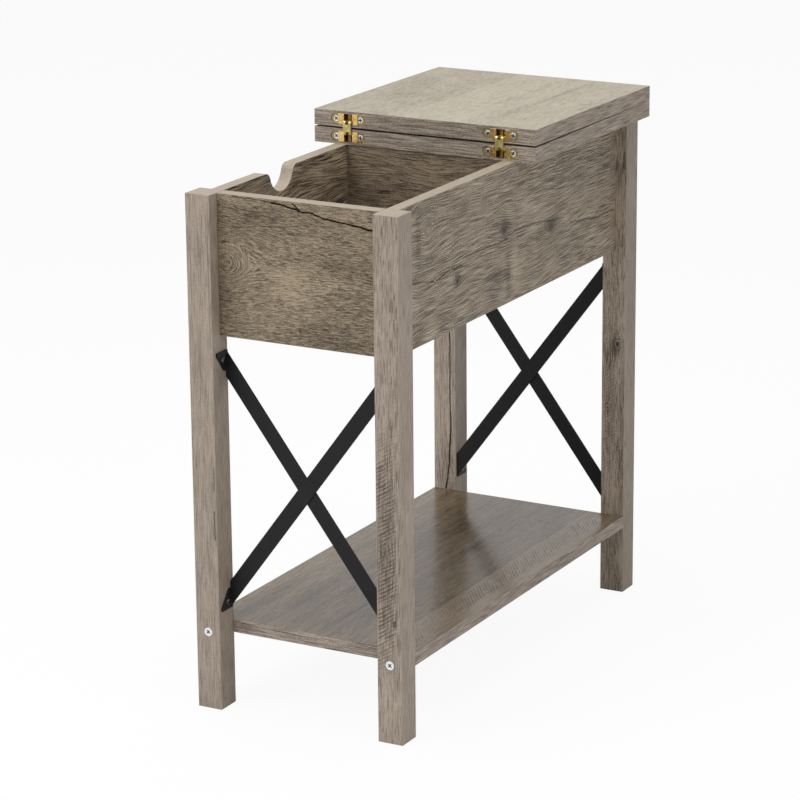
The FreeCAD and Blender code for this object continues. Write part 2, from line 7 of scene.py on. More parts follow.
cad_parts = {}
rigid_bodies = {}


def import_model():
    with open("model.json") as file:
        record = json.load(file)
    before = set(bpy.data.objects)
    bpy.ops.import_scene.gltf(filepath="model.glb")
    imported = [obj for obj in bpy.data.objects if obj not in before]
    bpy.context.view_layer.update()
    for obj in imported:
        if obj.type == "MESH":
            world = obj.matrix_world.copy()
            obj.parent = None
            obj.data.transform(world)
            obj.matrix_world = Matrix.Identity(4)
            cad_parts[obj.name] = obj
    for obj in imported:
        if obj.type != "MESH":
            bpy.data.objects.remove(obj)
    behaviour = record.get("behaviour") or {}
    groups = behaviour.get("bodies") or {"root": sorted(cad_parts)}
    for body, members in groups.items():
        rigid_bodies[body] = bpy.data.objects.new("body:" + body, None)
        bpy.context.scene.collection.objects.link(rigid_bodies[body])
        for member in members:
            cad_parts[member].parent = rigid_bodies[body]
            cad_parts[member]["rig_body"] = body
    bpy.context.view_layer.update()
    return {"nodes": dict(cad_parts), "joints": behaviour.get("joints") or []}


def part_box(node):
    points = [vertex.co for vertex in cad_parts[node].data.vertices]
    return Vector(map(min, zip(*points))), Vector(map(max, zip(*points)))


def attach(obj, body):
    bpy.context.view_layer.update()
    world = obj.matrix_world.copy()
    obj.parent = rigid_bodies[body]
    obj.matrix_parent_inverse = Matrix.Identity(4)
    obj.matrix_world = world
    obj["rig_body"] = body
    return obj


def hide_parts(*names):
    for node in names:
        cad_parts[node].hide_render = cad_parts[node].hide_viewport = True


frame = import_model()
bpy.context.scene.view_settings.view_transform = "Standard"

# Legs. Four 30 mm square posts of particle board wrapped in printed grey-brown oak paper, the print
# running up the leg, sawn square and closed with pale tape at the ends.


def linear(hex_colour):
    """An sRGB hex colour as linear red, green, blue and alpha."""
    parts = [int(hex_colour[i:i + 2], 16) / 255 for i in (1, 3, 5)]
    return [p / 12.92 if p <= 0.04045 else ((p + 0.055) / 1.055) ** 2.4 for p in parts] + [1.0]


def add(tree, kind, inputs=(), out=0, **settings):
    """Adds a node with its settings, links or sets its inputs, and gives back one of its outputs."""
    node = tree.nodes.new(kind)
    for name, value in settings.items():
        setattr(node, name, value)
    for socket, value in (inputs.items() if isinstance(inputs, dict) else enumerate(inputs)):
        if isinstance(value, bpy.types.NodeSocket):
            tree.links.new(value, node.inputs[socket])
        elif value is not None:
            node.inputs[socket].default_value = value
    return node.outputs[out] if node.outputs else node


def blank(name):
    """A new material whose node tree is empty."""
    material = bpy.data.materials.new(name)
    material.use_nodes = True
    material.node_tree.nodes.clear()
    return material


def oak_paper(name, shades, lines, weights, sway, pores, satin=(0.48, 0.6, 0.5), planks=(), flecks=(),
              knots=(), patches=(), cracks=(), sawn=()):
    """Melamine-faced board printed as weathered oak, a satin paper with pores pressed into it.

    The eye sees fine fibres that ring round knots, growth bands, short dark pores, pale flecks, splits
    and saw marks. Sizes are millimetres along and across the grain, from the middle of the board.
    shades: dark, middle and pale colour of the print.
    lines: length and width of a fibre.
    weights: shares of growth bands, streaks, fibres and clouds in the tone.
    sway: how far the slow bend and the ripple move the grain.
    pores: length, width and darkness of a pore.
    satin: roughness between the fibres and on them, and specular level.
    planks: where a plank begins, and its step in tone.
    flecks and patches: middle, reach along and across the grain, and gain.
    knots: middle, radius, stretch along the grain and darkness of the heart.
    cracks: points of the line, width, darkness and jag.
    sawn: middle and half width of a strip, its ends, and slant, pitch and darkness of the strokes."""
    material = blank(name)
    tree = material.node_tree
    fibre_length, fibre_width = lines
    pore_length, pore_width, pore_dark = pores
    least_rough, most_rough, specular = satin
    mm_per_m = 1000.0
    uv = add(tree, "ShaderNodeUVMap", uv_map="grain")
    place = add(tree, "ShaderNodeVectorMath", {0: uv, "Scale": mm_per_m}, operation="SCALE")
    along = add(tree, "ShaderNodeSeparateXYZ", (place,))
    across = along.node.outputs["Y"]
    sheet = add(tree, "ShaderNodeAttribute", out="Fac", attribute_name="sheet")
    flat = add(tree, "ShaderNodeCombineXYZ", (along, across, sheet))

    # The grain is the distance across the board, bent by a slow sway and a ripple, and ringed at knots.
    sway_cell, ripple_cell = (170.0, 70.0, 1.0), (46.0, 40.0, 1.0)
    full_swing = 4.0
    grain = across
    for cell, reach in zip((sway_cell, ripple_cell), sway):
        slow = add(tree, "ShaderNodeVectorMath", (flat, cell), operation="DIVIDE")
        slow = add(tree, "ShaderNodeTexNoise", {"Vector": slow, "Scale": 1.0, "Detail": 2.0})
        slow = add(tree, "ShaderNodeMath", (slow, 0.5), operation="SUBTRACT")
        grain = add(tree, "ShaderNodeMath", (slow, full_swing * reach, grain), operation="MULTIPLY_ADD")
    swayed = grain
    core, parting, ring_from, ring_full = 0.05, -0.85, 0.7, 1.5
    hearts = []
    for at, off, radius, stretch, dark in knots:
        x = add(tree, "ShaderNodeMath", (along, 1.0 / stretch, -at / stretch), operation="MULTIPLY_ADD")
        y = add(tree, "ShaderNodeMath", (swayed, off), operation="SUBTRACT")
        x = add(tree, "ShaderNodeMath", (x, x), operation="MULTIPLY")
        far = add(tree, "ShaderNodeMath", (y, y, x), operation="MULTIPLY_ADD")
        ring = add(tree, "ShaderNodeMath", (far,), operation="SQRT")
        far = add(tree, "ShaderNodeMath", (far, core * radius ** 2), operation="ADD")
        near = add(tree, "ShaderNodeMath", (radius ** 2, far), operation="DIVIDE")
        aside = add(tree, "ShaderNodeMath", (near, 1.0), operation="MINIMUM")
        aside = add(tree, "ShaderNodeMath", (aside, y), operation="MULTIPLY")
        grain = add(tree, "ShaderNodeMath", (aside, parting, grain), operation="MULTIPLY_ADD")
        within = add(tree, "ShaderNodeMapRange", (near, ring_from, ring_full, 0.0, 1.0))
        grain = add(tree, "ShaderNodeMath", (within, ring, grain), operation="MULTIPLY_ADD")
        if dark:
            hearts.append((near, dark))

    # Growth bands, streaks, fibres, pores, flecks and specks follow that grain, in cells of these sizes;
    # the finest are drawn about 1 mm wide, coarser than on the real paper, so that they show.
    bent = add(tree, "ShaderNodeCombineXYZ", (along, grain, sheet))
    layers = []
    for cell, detail in (((240.0, 9.0, 1.0), 2.0),
                         ((3.0 * fibre_length, 2.3 * fibre_width, 1.0), 2.0),
                         ((fibre_length, fibre_width, 1.0), 1.0),
                         ((pore_length, pore_width, 0.5), 0.0),
                         ((7.0, 1.3, 0.3), 0.0),
                         ((2.0, 0.9, 1.0), 1.0)):
        at = add(tree, "ShaderNodeVectorMath", (bent, cell), operation="DIVIDE")
        layers.append(add(tree, "ShaderNodeTexNoise", {"Vector": at, "Scale": 1.0, "Detail": detail}))
    band, streak, fibre, pore, fleck, speck = layers
    speck_share, fibre_from, fibre_full = 0.6, 0.64, 0.96
    fibre = add(tree, "ShaderNodeMath", (speck, speck_share, fibre), operation="MULTIPLY_ADD")
    fibre = add(tree, "ShaderNodeMapRange", (fibre, fibre_from, fibre_full, 0.0, 1.0))
    cloud_cell = (62.0, 30.0, 0.7)
    at = add(tree, "ShaderNodeVectorMath", (flat, cloud_cell), operation="DIVIDE")
    cloud = add(tree, "ShaderNodeTexNoise", {"Vector": at, "Scale": 1.0, "Detail": 2.0})

    # Layers, planks, patches and flecks add up to one tone, and the tone picks the shade.
    seam, fleck_from, fleck_full = 0.6, 0.55, 0.68
    dark_at, middle_at, pale_at = 0.15, 0.5, 0.85
    tone = 0.5 - 0.5 * sum(weights)
    for source, weight in zip((band, streak, fibre, cloud), weights):
        tone = add(tree, "ShaderNodeMath", (source, weight, tone), operation="MULTIPLY_ADD")
    for edge, shift in planks:
        beyond = add(tree, "ShaderNodeMapRange", (swayed, edge - seam, edge + seam, 0.0, shift))
        tone = add(tree, "ShaderNodeMath", (tone, beyond), operation="ADD")
    pale = 0.0
    for kind, group in (("shade", patches), ("fleck", flecks)):
        for at, off, reach, width, gain in group:
            x = add(tree, "ShaderNodeMath", (along, 1.0 / reach, -at / reach), operation="MULTIPLY_ADD")
            y = add(tree, "ShaderNodeMath", (across, 1.0 / width, -off / width), operation="MULTIPLY_ADD")
            x = add(tree, "ShaderNodeMath", (x, x), operation="MULTIPLY")
            far = add(tree, "ShaderNodeMath", (y, y, x), operation="MULTIPLY_ADD")
            far = add(tree, "ShaderNodeMath", (far, -1.0), operation="MULTIPLY")
            far = add(tree, "ShaderNodeMath", (far,), operation="EXPONENT")
            if kind == "shade":
                tone = add(tree, "ShaderNodeMath", (far, gain, tone), operation="MULTIPLY_ADD")
            else:
                pale = add(tree, "ShaderNodeMath", (far, gain, pale), operation="MULTIPLY_ADD")
    if flecks:
        lit = add(tree, "ShaderNodeMapRange", (fleck, fleck_from, fleck_full, 0.0, 1.0))
        tone = add(tree, "ShaderNodeMath", (lit, pale, tone), operation="MULTIPLY_ADD")
    ramp = add(tree, "ShaderNodeValToRGB", (tone,))
    stops = ramp.node.color_ramp.elements
    stops.new(middle_at)
    for stop, where, shade in zip(stops, (dark_at, middle_at, pale_at), shades):
        stop.position = where
        stop.color = linear(shade)

    # Dark marks: pores, more of them in dark places, and the hearts of knots.
    gather, pore_from, pore_full = -0.15, 0.5, 0.57
    heart_from, heart_full = 0.5, 4.0
    dense = add(tree, "ShaderNodeMath", (cloud, gather, pore), operation="MULTIPLY_ADD")
    marks = add(tree, "ShaderNodeMapRange", (dense, pore_from, pore_full, 0.0, pore_dark))
    for near, dark in hearts:
        heart = add(tree, "ShaderNodeMath", (near, streak), operation="MULTIPLY")
        heart = add(tree, "ShaderNodeMapRange", (heart, heart_from, heart_full, 0.0, dark))
        marks = add(tree, "ShaderNodeMath", (marks, heart), operation="MAXIMUM")

    # Splits: a curve through the points, shaken to a jagged line, of uneven width and thin at its ends.
    jag_cell, least_rise = (5.0, 60.0, 1.0), 1e-3
    widest, narrowest, streak_from, streak_full = 1.3, 0.6, 0.35, 0.65
    black_to, clear_from, taper = 0.6, 1.1, 0.02
    for points, width, depth, jag in cracks:
        start, end = points[0][0], points[-1][0]
        low, high = min(p[1] for p in points), max(p[1] for p in points) + least_rise
        run = add(tree, "ShaderNodeMapRange", (along, start, end, 0.0, 1.0))
        line = add(tree, "ShaderNodeFloatCurve", {"Value": run})
        curve = line.node.mapping.curves[0]
        for i, point in enumerate(points):
            where = ((point[0] - start) / (end - start), (point[1] - low) / (high - low))
            if i in (0, len(points) - 1):
                curve.points[0 if i == 0 else -1].location = where
            else:
                curve.points.new(*where)
        for point in curve.points:
            point.handle_type = "VECTOR"
        line.node.mapping.update()
        line = add(tree, "ShaderNodeMapRange", (line, 0.0, 1.0, low, high))
        shake = add(tree, "ShaderNodeVectorMath", (flat, jag_cell), operation="DIVIDE")
        shake = add(tree, "ShaderNodeTexNoise", {"Vector": shake, "Scale": 1.0, "Detail": 3.0})
        shake = add(tree, "ShaderNodeMath", (shake, 0.5), operation="SUBTRACT")
        line = add(tree, "ShaderNodeMath", (shake, jag, line), operation="MULTIPLY_ADD")
        apart = add(tree, "ShaderNodeMath", (across, line), operation="SUBTRACT")
        apart = add(tree, "ShaderNodeMath", (apart,), operation="ABSOLUTE")
        wide = add(tree, "ShaderNodeMapRange",
                   (streak, streak_from, streak_full, widest * width, narrowest * width))
        apart = add(tree, "ShaderNodeMath", (apart, wide), operation="DIVIDE")
        split = add(tree, "ShaderNodeMapRange", (apart, black_to, clear_from, depth, 0.0))
        ends = add(tree, "ShaderNodeMath", (run, run), operation="MULTIPLY")
        ends = add(tree, "ShaderNodeMath", (run, ends), operation="SUBTRACT")
        ends = add(tree, "ShaderNodeMapRange", (ends, 0.0, taper, 0.0, 1.0))
        split = add(tree, "ShaderNodeMath", (split, ends), operation="MULTIPLY")
        marks = add(tree, "ShaderNodeMath", (marks, split), operation="MAXIMUM")

    # Saw marks: slanting strokes at an uneven beat, in a strip that fades to its sides and ends.
    stroke_length, drift, uneven, stroke_from, stroke_full = 12.0, 6.0, 4.0, 2.1, 2.7
    fade, cloud_from, cloud_full, faintest = 0.6, 0.38, 0.52, 0.35
    for middle, half, low, high, slant, pitch, depth in sawn:
        lean = add(tree, "ShaderNodeMath", (across, slant, along), operation="MULTIPLY_ADD")
        teeth = add(tree, "ShaderNodeCombineXYZ", (lean, across, sheet))
        stroke_cell = (1.3 * pitch, stroke_length, 1.0)
        teeth = add(tree, "ShaderNodeVectorMath", (teeth, stroke_cell), operation="DIVIDE")
        teeth = add(tree, "ShaderNodeTexNoise", {"Vector": teeth, "Scale": 1.0, "Detail": 1.0})
        beat = add(tree, "ShaderNodeMath", (lean, math.tau / pitch), operation="MULTIPLY")
        beat = add(tree, "ShaderNodeMath", (teeth, drift, beat), operation="MULTIPLY_ADD")
        beat = add(tree, "ShaderNodeMath", (beat,), operation="SINE")
        teeth = add(tree, "ShaderNodeMath", (teeth, uneven, beat), operation="MULTIPLY_ADD")
        teeth = add(tree, "ShaderNodeMapRange", (teeth, stroke_from, stroke_full, 0.0, depth))
        aside = add(tree, "ShaderNodeMath", (across, middle), operation="SUBTRACT")
        aside = add(tree, "ShaderNodeMath", (aside,), operation="ABSOLUTE")
        strip = add(tree, "ShaderNodeMapRange", (aside, fade * half, half, 1.0, 0.0))
        reach = 0.5 * (high - low)
        ends = add(tree, "ShaderNodeMath", (along, 0.5 * (low + high)), operation="SUBTRACT")
        ends = add(tree, "ShaderNodeMath", (ends,), operation="ABSOLUTE")
        ends = add(tree, "ShaderNodeMapRange", (ends, fade * reach, reach, 1.0, 0.0))
        broken = add(tree, "ShaderNodeMapRange", (cloud, cloud_from, cloud_full, faintest, 1.0))
        for mask in (strip, ends, broken):
            teeth = add(tree, "ShaderNodeMath", (teeth, mask), operation="MULTIPLY")
        marks = add(tree, "ShaderNodeMath", (marks, teeth), operation="MAXIMUM")
    worn = add(tree, "ShaderNodeMix", {0: marks, 6: ramp, 7: linear("#140D08")}, out=2, data_type="RGBA")

    # The finish is a low satin, and the marks are sunk in it and dull.
    mark_shine, mark_sink = 0.02, -2.0
    rough = add(tree, "ShaderNodeMapRange", (fibre, 0.0, 1.0, least_rough, most_rough))
    shine = add(tree, "ShaderNodeMapRange", (marks, 0.0, 1.0, specular, mark_shine))
    relief = add(tree, "ShaderNodeMath", (marks, mark_sink, streak), operation="MULTIPLY_ADD")
    relief = add(tree, "ShaderNodeBump", {"Height": relief, "Strength": 0.3, "Distance": 0.0002})
    shader = add(tree, "ShaderNodeBsdfPrincipled",
                 {"Base Color": worn, "Roughness": rough, "Specular IOR Level": shine, "Normal": relief})
    add(tree, "ShaderNodeOutputMaterial", {"Surface": shader})
    return material


def rounded_solid(node, arris, is_sharp):
    """A mesh cut as the node's CAD solid is, its flat faces made whole and its sharp edges rounded."""
    weld, level = 1e-6, math.radians(0.3)
    mesh = bmesh.new()
    mesh.from_mesh(frame["nodes"][node].data)
    bmesh.ops.remove_doubles(mesh, verts=mesh.verts, dist=weld)
    bmesh.ops.dissolve_limit(mesh, angle_limit=level, verts=mesh.verts, edges=mesh.edges)
    sharp = [edge for edge in mesh.edges if is_sharp(edge)]
    bmesh.ops.bevel(mesh, geom=sharp, offset=arris, offset_type="OFFSET", segments=2, profile=0.5,
                    affect="EDGES", clamp_overlap=True)
    return mesh


def dress_board(node, grain, faces, edges, sheet, marked=None, arris=0.0006):
    """A board with its long arrises rounded and the print laid along the grain axis.

    sheet says where in the print the board is cut, so that no two boards look alike. marked gives one
    face a print of its own: its axis, the side it faces, and the print."""
    shortest, square = 0.012, math.radians(60)
    mesh = rounded_solid(node, arris, lambda edge: (edge.is_convex and edge.calc_length() > shortest
                                                    and edge.calc_face_angle(0.0) > square))
    low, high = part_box(node)
    middle, size = (low + high) / 2, high - low
    thin = min(range(3), key=lambda i: size[i])
    print_map = mesh.loops.layers.uv.new("grain")
    lot = mesh.faces.layers.float.new("sheet")
    same_size, straight, axis_step, side_step = 1e-4, 0.97, 3.7, 1.9
    for face in mesh.faces:
        across = max(range(3), key=lambda i: abs(face.normal[i]))
        broad = abs(size[across] - size[thin]) < same_size
        others = sorted((i for i in range(3) if i != across), key=lambda i: -size[i])
        if broad and others[1] == grain:
            others.reverse()
        worn = max(abs(part) for part in face.normal) < straight
        face.material_index = 0 if broad and not worn else 1
        if marked and not worn and across == marked[0] and face.normal[across] * marked[1] > 0:
            face.material_index = 2
        face[lot] = sheet + axis_step * across + (side_step if face.normal[across] > 0 else 0.0)
        for loop in face.loops:
            spot = loop.vert.co - middle
            loop[print_map].uv = (spot[others[0]], spot[others[1]])
    data = bpy.data.meshes.new(node + "_board")
    mesh.to_mesh(data)
    mesh.free()
    for paper in (faces, edges) + ((marked[2],) if marked else ()):
        data.materials.append(paper)
    board = bpy.data.objects.new(node + "_board", data)
    bpy.context.scene.collection.objects.link(board)
    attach(board, frame["nodes"][node]["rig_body"])
    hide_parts(node)


x_axis, y_axis, z_axis = range(3)
leg_shades = ("#685C50", "#A29385", "#B9AC9D")
leg_lines = (26.0, 0.95)
leg_weights = (0.15, 0.08, 0.28, 0.2)
leg_sway = (2.0, 0.2)
leg_pores = (18.0, 0.9, 0.26)
# Leg oak: plain straight grain in a warm grey, for the sides of the front legs.
leg_oak = oak_paper("leg_oak_paper", leg_shades, leg_lines, leg_weights, leg_sway, leg_pores)
# Checked leg oak: the same, with thin drying checks along one edge.
checked_leg_oak = oak_paper(
    "checked_leg_oak_paper", leg_shades, leg_lines, leg_weights, leg_sway, leg_pores,
    cracks=((((-94.0, 12.4), (-75.0, 12.0), (-60.0, 12.2)), 0.6, 0.7, 1.0),
            (((-38.0, 12.0), (-25.0, 12.6), (-10.0, 12.2)), 0.6, 0.7, 1.0),
            (((120.0, 12.6), (190.0, 12.0), (250.0, 12.4)), 0.5, 0.4, 1.0)))
# Sawn leg oak: darker in the middle, with slanting strokes of a band saw.
sawn_leg_oak = oak_paper(
    "sawn_leg_oak_paper", leg_shades, leg_lines, leg_weights, leg_sway, pores=(14.0, 0.95, 0.4),
    patches=((-70.0, -3.0, 110.0, 12.0, -0.24), (-250.0, 0.0, 60.0, 20.0, 0.12),
             (-154.0, 7.0, 3.0, 2.0, -0.9)),
    sawn=((-3.0, 14.0, -230.0, 75.0, -0.6, 4.4, 0.55),))
# Split leg oak: paler, with one long jagged split that starts at a small knot.
split_leg_oak = oak_paper(
    "split_leg_oak_paper", ("#6A5E52", "#AC9D8E", "#C4B7A7"), leg_lines, leg_weights, sway=(3.0, 0.3),
    pores=(14.0, 0.95, 0.35), knots=((-180.0, 4.0, 4.0, 1.4, 0.4),),
    patches=((-165.0, 2.0, 30.0, 10.0, -0.2),),
    cracks=((((-200.0, 0.0), (-169.0, 5.0), (-117.0, 8.0), (-60.0, 7.0), (-9.0, 7.6), (60.0, 6.0),
              (150.0, 5.0)), 1.25, 0.9, 1.5),))
# Dark leg oak: cloudy and deep in tone, with two knots and faint saw strokes.
dark_leg_oak = oak_paper(
    "dark_leg_oak_paper", ("#4A3F36", "#AA9A89", "#C4B6A6"), leg_lines, (0.25, 0.1, 0.34, 0.7),
    sway=(3.0, 1.0), pores=(12.0, 1.0, 0.4),
    knots=((20.0, 3.0, 5.0, 1.2, 0.6), (-60.0, -6.0, 3.0, 1.2, 0.6)),
    patches=((20.0, 3.0, 18.0, 9.0, -0.35), (-60.0, -4.0, 40.0, 8.0, -0.15)),
    sawn=((-4.0, 9.0, -160.0, 60.0, -0.6, 4.4, 0.3),))
# Back leg oak: the plain leg print darkened as painted shade, for all but the front faces of the back legs.
shaded_back_leg_oak = oak_paper(
    "back_leg_oak_paper", ("#5E5349", "#938779", "#A99E91"), leg_lines, leg_weights, leg_sway, leg_pores)
# Pale tape: a strip of bleached oak print, almost plain, on the sawn edges.
pale_tape = oak_paper(
    "pale_oak_tape", ("#857A6A", "#9D907F", "#AC9F8D"), (24.0, 1.0), (0.2, 0.15, 0.3, 0.3),
    sway=(1.0, 0.1), pores=(12.0, 1.0, 0.12))
first_sheet, sheet_step = 11.0, 17.0
for number, (node, sides, face) in enumerate((
        ("leg_front_left", leg_oak, checked_leg_oak), ("leg_front_right", leg_oak, sawn_leg_oak),
        ("leg_back_left", shaded_back_leg_oak, split_leg_oak), ("leg_back_right", shaded_back_leg_oak, dark_leg_oak))):
    dress_board(node, z_axis, sides, pale_tape, first_sheet + sheet_step * number,
                marked=(y_axis, -1, face))

# End panels. 15 mm board between the legs, set 15 mm back from their outer faces, with the print lying
# across the table. The front one is printed with a dark split that runs down from its top left corner.
panel_lines = (9.0, 0.75)
panel_weights = (0.12, 0.03, 0.52, 0.32)
panel_pores = (8.0, 0.75, 0.44)
# Front panel oak: brown-grey, with a ringed knot, pale flecks and a black branching split.
front_oak = oak_paper(
    "front_panel_oak_paper", ("#463A2B", "#857660", "#A9997F"), panel_lines, panel_weights, sway=(4.0, 0.8),
    pores=panel_pores, knots=((-88.0, 6.0, 20.0, 1.3, 0.0), (2.0, -61.0, 2.0, 1.5, 0.6)),
    flecks=((-66.0, 6.0, 26.0, 18.0, 0.5), (55.0, -7.0, 45.0, 7.0, 0.5), (0.0, 2.0, 24.0, 6.0, 0.25)),
    patches=((-58.0, 60.0, 24.0, 12.0, -0.22), (-90.0, -30.0, 16.0, 50.0, -0.14),
             (-8.0, -16.0, 22.0, 18.0, 0.22), (45.0, 14.0, 45.0, 9.0, -0.1),
             (50.0, -70.0, 60.0, 14.0, -0.12), (-30.0, 60.0, 8.0, 16.0, -0.12)),
    cracks=((((-80.0, 76.6), (-67.3, 76.2), (-56.7, 76.2), (-48.0, 75.9), (-28.8, 74.3),
              (-20.0, 73.4)), 0.7, 0.75, 3.0),
            (((-34.0, 74.8), (-28.8, 74.3), (-20.0, 73.4), (-10.6, 71.5), (-2.2, 69.8), (5.9, 68.2),
              (14.6, 68.5), (23.1, 66.1), (35.1, 63.5), (43.7, 62.1), (54.0, 61.3), (64.2, 60.4),
              (76.1, 59.1), (84.5, 57.2), (99.0, 56.6)), 1.15, 1.0, 3.0),
            (((-6.1, 76.6), (-1.7, 73.2), (5.9, 67.3)), 1.2, 0.95, 3.0),
            (((-6.5, 70.5), (-1.0, 71.0), (4.2, 70.2)), 0.8, 0.85, 3.0),
            (((-1.7, 74.2), (0.4, 69.5), (1.9, 66.1)), 2.0, 0.85, 3.0)))
# Box oak: the browner print of the inner faces, which lie in the shade of the box.
box_oak = oak_paper(
    "box_oak_paper", ("#3E3226", "#7F705E", "#A08F79"), (22.0, 0.95), (0.16, 0.05, 0.52, 0.32),
    sway=(8.0, 1.0), pores=(14.0, 1.1, 0.4),
    knots=((-95.0, -6.0, 9.0, 4.0, 0.0), (190.0, -20.0, 6.0, 4.0, 0.0)))
dress_board("front_end_panel", x_axis, box_oak, pale_tape, 101.0,
            marked=(y_axis, -1, front_oak))
# End panel oak: the front panel's print with two small knots and no split.
end_oak = oak_paper(
    "end_panel_oak_paper", ("#463A2D", "#847664", "#A39581"), panel_lines, panel_weights, sway=(7.0, 1.0),
    pores=panel_pores, flecks=((-20.0, 10.0, 60.0, 12.0, 0.3),),
    knots=((38.0, 22.0, 7.0, 1.4, 0.3), (-55.0, -30.0, 5.0, 1.6, 0.3)))
dress_board("back_end_panel", x_axis, box_oak, pale_tape, 131.0,
            marked=(y_axis, 1, end_oak))

# Side panels. 15 mm board housed between front and back legs, printed along its length with knots and
# one long split; the left one has a rounded finger notch cut in its top edge.
side_shades = ("#483D31", "#938473", "#B7AA94")
side_lines = (36.0, 0.74)
side_weights = (0.14, 0.05, 0.78, 0.3)
side_sway = (6.0, 1.4)
side_pores = (26.0, 0.75, 0.42)
# Side panel oak: dense fine fibres, knots with dark hearts and a broken line of splits.
side_oak = oak_paper(
    "side_panel_oak_paper", side_shades, side_lines, side_weights, side_sway, side_pores,
    knots=((-200.0, 44.0, 8.0, 1.0, 0.0), (-24.0, 7.0, 5.0, 1.0, 0.6), (-134.0, -25.0, 4.0, 1.2, 0.7),
           (93.0, -13.0, 5.0, 1.5, 0.5), (187.0, -62.0, 3.0, 1.3, 0.4)),
    patches=((-222.0, 40.0, 7.0, 34.0, -0.25), (-34.0, -45.0, 26.0, 10.0, -0.2),
             (45.0, 20.0, 30.0, 16.0, 0.16), (-22.0, 10.0, 10.0, 14.0, -0.42),
             (95.0, -10.0, 18.0, 12.0, -0.34), (-14.0, -46.0, 6.0, 22.0, -0.28),
             (4.0, -40.0, 10.0, 24.0, 0.2), (-134.0, -25.0, 8.0, 9.0, -0.45),
             (170.0, 45.0, 110.0, 30.0, -0.12)),
    cracks=((((-263.0, -6.0), (-233.7, -7.3), (-204.0, -11.3), (-190.0, -14.5)), 0.75, 0.5, 5.0),
            (((-196.0, -13.2), (-185.5, -15.5), (-170.4, -13.4), (-153.3, -10.7), (-122.0, -10.7)),
             0.9, 0.85, 5.0),
            (((-123.0, -3.4), (-89.4, -3.5), (-61.9, -3.9), (-37.9, -5.2), (-14.0, -4.0)), 0.8, 0.8, 5.0),
            (((-16.0, -1.9), (6.9, 0.4), (31.6, 0.0), (56.7, -1.5), (86.1, -5.6), (129.2, -10.1)),
             0.8, 0.65, 5.0),
            (((140.0, -18.0), (160.1, -21.0), (218.0, -28.1), (262.0, -27.1)), 0.9, 0.65, 5.0)))
dress_board("right_side_panel", y_axis, box_oak, pale_tape, 151.0,
            marked=(x_axis, 1, side_oak))
# Left box oak: bold wavy streaks on the inner face below the notch, paler than the box print as
# painted light on that face, which turns to the right-hand lamp.
lit_left_box_oak = oak_paper(
    "left_box_oak_paper", ("#3E3227", "#9C8C77", "#C2B198"), (44.0, 1.3), (0.5, 0.25, 0.65, 0.3),
    sway=(10.0, 1.2), pores=(30.0, 1.3, 0.6))
# Left panel oak: the right side's print with two knots and one split.
left_oak = oak_paper(
    "left_panel_oak_paper", side_shades, side_lines, side_weights, side_sway, side_pores,
    knots=((-150.0, 18.0, 5.0, 1.2, 0.6), (60.0, -30.0, 5.0, 1.3, 0.6)),
    patches=((-150.0, 18.0, 12.0, 12.0, -0.25), (60.0, -30.0, 14.0, 12.0, -0.25)),
    cracks=((((-120.0, 10.0), (-60.0, 4.0), (0.0, 2.0), (70.0, -4.0), (150.0, -3.0)), 1.0, 0.8, 3.0),))
dress_board("left_side_panel", y_axis, lit_left_box_oak, pale_tape, 171.0,
            marked=(x_axis, -1, left_oak))

# Divider and compartment floor. Plain inner boards that close the storage box, held by dowels and
# cams, with the same print as the panels round them.
dress_board("divider_panel", x_axis, box_oak, pale_tape, 191.0)
dress_board("compartment_floor", y_axis, box_oak, pale_tape, 211.0)

# Lower shelf. One 15 mm board let in between the legs, printed as planks along the table with a seam
# near the middle and saw marks on the right, its edges taped with the same print.
# Shelf oak: brown planks under a hard gloss that mirrors the legs, sawn across on the right.
shelf_oak = oak_paper(
    "shelf_oak_paper", ("#43382B", "#75654F", "#918069"), (22.0, 0.9), (0.5, 0.1, 0.36, 0.4),
    sway=(2.0, 0.3), pores=(14.0, 0.95, 0.22), satin=(0.16, 0.22, 0.36),
    planks=((-74.0, -0.12), (10.0, 0.07), (84.0, 0.3)),
    patches=((-190.0, -100.0, 60.0, 12.0, -0.2), (-150.0, 30.0, 60.0, 30.0, -0.2),
             (100.0, 30.0, 120.0, 12.0, -0.15)),
    cracks=((((-259.0, 11.0), (-200.0, 7.5), (-60.0, 6.0)), 0.9, 0.6, 2.0),
            (((60.0, -2.0), (150.0, 0.0), (262.0, 2.0)), 0.9, 0.3, 2.0)),
    sawn=((102.0, 17.0, -520.0, 520.0, 1.35, 6.4, 0.5),))
# Edge oak: a tape with close straight fibres, paler than the shelf.
edge_oak = oak_paper(
    "edge_oak_tape", ("#5F5145", "#9E9083", "#BAADA0"), (34.0, 0.8), (0.05, 0.1, 0.6, 0.15),
    sway=(0.8, 0.1), pores=(22.0, 0.85, 0.42))
dress_board("lower_shelf", y_axis, shelf_oak, edge_oak, 231.0)

# Top leaves. Two 18 mm boards, the back one fixed on the legs and panels and the front one folded over
# on it, printed as pale planks along the table and taped on all edges, with painted shade along the
# edges where the two meet.
top_lines = (16.0, 1.0)
top_sway = (3.0, 0.5)
top_pores = (12.0, 1.2, 0.2)
# Top oak: pale grey-beige planks with a faint seam.
top_oak = oak_paper(
    "top_oak_paper", ("#6F6454", "#9F9684", "#B4AB97"), top_lines, (0.15, 0.08, 0.38, 0.3), top_sway,
    top_pores, planks=((-30.0, 0.1), (72.0, -0.03)),
    knots=((60.0, -70.0, 6.0, 5.0, 0.0), (-80.0, 20.0, 6.0, 6.0, 0.0)),
    patches=((0.0, -90.0, 110.0, 30.0, -0.08), (-60.0, 66.0, 40.0, 4.0, -0.15),
             (70.0, 70.0, 50.0, 3.0, -0.2)),
    cracks=((((-100.0, 70.0), (-60.0, 71.0), (-20.0, 72.0), (60.0, 72.0), (140.0, 74.0)), 1.2, 0.3, 2.0),))
